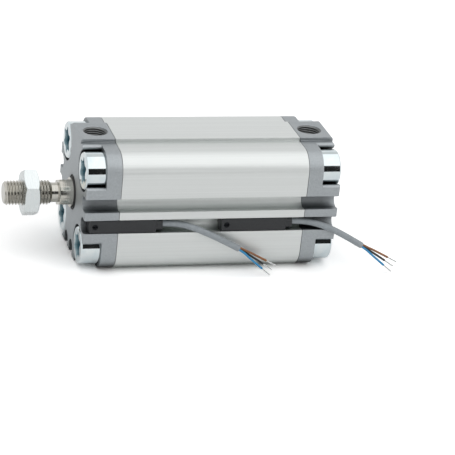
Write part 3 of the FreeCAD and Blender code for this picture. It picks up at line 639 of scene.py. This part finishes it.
for end, route in LEAD_ROUTES.items():
    points = [Vector(point) * MM for point in route]
    jacket = round_cord(end + "_lead_jacket", points, CABLE_D, jacket_vinyl)
    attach(jacket, end + "_sensor")
    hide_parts(end + "_sensor_cable")
    along = (points[-1] - points[-2]).normalized()
    across = along.cross(Vector((0, 1, 0))).normalized()
    away = across.cross(along)
    tips = []
    for index, (colour, fan) in enumerate(CORE_FAN.items()):
        angle = math.radians(90 - 360 / len(CORE_FAN) * index)
        start = points[-1] + (across * math.sin(angle) + away * math.cos(angle)) * CORE_SPREAD
        middle, bare = [points[-1] + Vector(step) * MM for step in fan]
        core = round_cord(f"{end}_lead_{colour}", [start, start + along * CORE_STRAIGHT, middle, bare],
                          CORE_D, core_vinyl[colour])
        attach(core, end + "_sensor")
        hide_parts(f"{end}_wire_{colour}")
        line = (bare - middle).normalized()
        tips.append(stranded_tip(f"{end}_tip_{colour}", bare - line * TIP_HIDDEN, bare + line * TIP_LENGTH))
    only(tips[0])
    for tip in tips:
        tip.select_set(True)
    bpy.ops.object.join()
    bare_ends = tips[0]
    bare_ends.name = end + "_lead_tips"
    bare_ends.data.materials.clear()
    bare_ends.data.materials.append(tinned)
    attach(bare_ends, end + "_sensor")
    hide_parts(end + "_wire_tips")


# Studio
# A white table and a plain white surround, with one dark low doorway in the room behind the camera.
# One large soft lamp hangs overhead, and a weaker one stands in front on the right.

FLOOR_Z = -25 * MM
STAGE_X = 0.05
TABLE_SIDE = 8.0
# How much brighter the table's card is where the camera sees it, and where a piece mirrors it.
SEEN_LIFT = 0.55
MIRRORED_LIFT = 0.12
# Where the doorway lies, by the shares of a direction along X and Z, each from plain room to full dark.
DOOR_MIDDLE = 0.25
DOOR_SIDE = (0.20, 0.13)
DOOR_TOP = (0.59, 0.53)
DOOR_LIGHT = 0.015
# Mirrored walls have full light and fade upwards to a dimmer ceiling. Other light from the room is even.
CEILING_EDGE = (0.45, 0.7)
CEILING_LIGHT = 0.78
ROOM_LIGHT = 0.62
# Place and width of each lamp in metres, and its power in watts.
LAMPS = {
    "overhead softbox": ((0.1, -0.3, 1.0), 1.7, 5.4),
    "front softbox": ((0.75, -0.85, 0.45), 0.5, 0.8),
}

bpy.ops.object.select_all(action="DESELECT")
bpy.ops.mesh.primitive_plane_add(size=TABLE_SIDE, location=(STAGE_X, 0, FLOOR_Z))
table = bpy.context.object
table.name = "table"

# White board: matte card with a faint mottle of about 4 mm, lifted to white where it is seen or mirrored.
white_board = bpy.data.materials.new("white board")
white_board.use_nodes = True
white_board.node_tree.nodes.remove(white_board.node_tree.nodes["Principled BSDF"])
card = grained_tone(white_board, grain=(4, 4, 4), tones=("#F4F4F4", "#F6F6F6"))[1]
ray = add_node(white_board, "ShaderNodeLightPath", {}, {})
seen = add_node(white_board, "ShaderNodeMath", {"operation": "ADD"},
                {0: ray.outputs["Is Camera Ray"], 1: ray.outputs["Is Transmission Ray"]})
seen_lift = add_node(white_board, "ShaderNodeMath", {"operation": "MULTIPLY_ADD", 1: SEEN_LIFT, 2: 1.0},
                     {0: seen.outputs["Value"]})
lift = add_node(white_board, "ShaderNodeMath", {"operation": "MULTIPLY_ADD", 1: MIRRORED_LIFT},
                {0: ray.outputs["Is Glossy Ray"], 2: seen_lift.outputs["Value"]})
shown = add_node(white_board, "ShaderNodeVectorMath", {"operation": "SCALE"},
                 {0: card, "Scale": lift.outputs["Value"]})
matte = add_node(white_board, "ShaderNodeBsdfDiffuse", {}, {"Color": shown.outputs["Vector"]})
white_board.node_tree.links.new(matte.outputs["BSDF"],
                                white_board.node_tree.nodes["Material Output"].inputs["Surface"])
table.data.materials.append(white_board)

surround = bpy.data.worlds.new("studio")
bpy.context.scene.world = surround
surround.use_nodes = True
sky = surround.node_tree.nodes["Background"]
sky.inputs["Color"].default_value = srgb("#FFFFFF")
heading = add_node(surround, "ShaderNodeTexCoord", {}, {})
shares = add_node(surround, "ShaderNodeSeparateXYZ", {}, {"Vector": heading.outputs["Generated"]})
off_door = add_node(surround, "ShaderNodeMath", {"operation": "SUBTRACT", 1: DOOR_MIDDLE},
                    {0: shares.outputs["X"]})
aside = add_node(surround, "ShaderNodeMath", {"operation": "ABSOLUTE"}, {0: off_door.outputs["Value"]})
narrow = add_node(surround, "ShaderNodeMapRange",
                  {"interpolation_type": "SMOOTHSTEP", "From Min": DOOR_SIDE[0], "From Max": DOOR_SIDE[1]},
                  {"Value": aside.outputs["Value"]})
behind = add_node(surround, "ShaderNodeMath", {"operation": "LESS_THAN", 1: 0.0}, {0: shares.outputs["Y"]})
low = add_node(surround, "ShaderNodeMapRange",
               {"interpolation_type": "SMOOTHSTEP", "From Min": DOOR_TOP[0], "From Max": DOOR_TOP[1]},
               {"Value": shares.outputs["Z"]})
doorway = add_node(surround, "ShaderNodeMath", {"operation": "MULTIPLY"},
                   {0: narrow.outputs["Result"], 1: behind.outputs["Value"]})
dark = add_node(surround, "ShaderNodeMath", {"operation": "MULTIPLY"},
                {0: doorway.outputs["Value"], 1: low.outputs["Result"]})
walls = add_node(surround, "ShaderNodeMapRange", {"To Min": 1.0, "To Max": DOOR_LIGHT},
                 {"Value": dark.outputs["Value"]})
ceiling = add_node(surround, "ShaderNodeMapRange",
                   {"interpolation_type": "SMOOTHSTEP", "From Min": CEILING_EDGE[0],
                    "From Max": CEILING_EDGE[1], "To Min": 1.0, "To Max": CEILING_LIGHT},
                   {"Value": shares.outputs["Z"]})
room = add_node(surround, "ShaderNodeMath", {"operation": "MULTIPLY"},
                {0: walls.outputs["Result"], 1: ceiling.outputs["Result"]})
ray = add_node(surround, "ShaderNodeLightPath", {}, {})
lighting = add_node(surround, "ShaderNodeMix", {"data_type": "FLOAT", 2: ROOM_LIGHT},
                    {0: ray.outputs["Is Glossy Ray"], 3: room.outputs["Value"]})
seen = add_node(surround, "ShaderNodeMath", {"operation": "ADD", "use_clamp": True},
                {0: ray.outputs["Is Camera Ray"], 1: ray.outputs["Is Transmission Ray"]})
strength = add_node(surround, "ShaderNodeMix", {"data_type": "FLOAT", 3: 1.0},
                    {0: seen.outputs["Value"], 2: lighting.outputs[0]})
surround.node_tree.links.new(strength.outputs[0], sky.inputs["Strength"])

for name, (spot, width, power) in LAMPS.items():
    light = bpy.data.lights.new(name, "AREA")
    light.energy = power
    light.size = width
    lamp = bpy.data.objects.new(name, light)
    lamp.location = spot
    lamp.rotation_euler = (Vector((STAGE_X, 0, 0)) - Vector(spot)).to_track_quat("-Z", "Y").to_euler()
    bpy.context.scene.collection.objects.link(lamp)


# Camera
# It stands to the left of the middle and above, and leans a little, as the photograph was taken.
# Its lens is long, so the far end of the body looks hardly smaller than the near one.

CAMERA_PLACE = (-0.1862, -0.7952, 0.3503)
CAMERA_YAW = -17.643
CAMERA_PITCH = -23.763
CAMERA_ROLL = 6.169
FOCAL_LENGTH = 174.79
FILM_WIDTH = 36.0

lens = bpy.data.cameras.new("camera")
lens.sensor_width = FILM_WIDTH
lens.lens = FOCAL_LENGTH
camera = bpy.data.objects.new("camera", lens)
yaw = Matrix.Rotation(math.radians(CAMERA_YAW), 3, "Z")
pitch = Matrix.Rotation(math.radians(90 + CAMERA_PITCH), 3, "X")
roll = Matrix.Rotation(math.radians(CAMERA_ROLL), 3, "Z")
camera.rotation_euler = (yaw @ pitch @ roll).to_euler()
camera.location = CAMERA_PLACE
bpy.context.scene.collection.objects.link(camera)
bpy.context.scene.camera = camera
bpy.context.scene.view_settings.view_transform = "Standard"
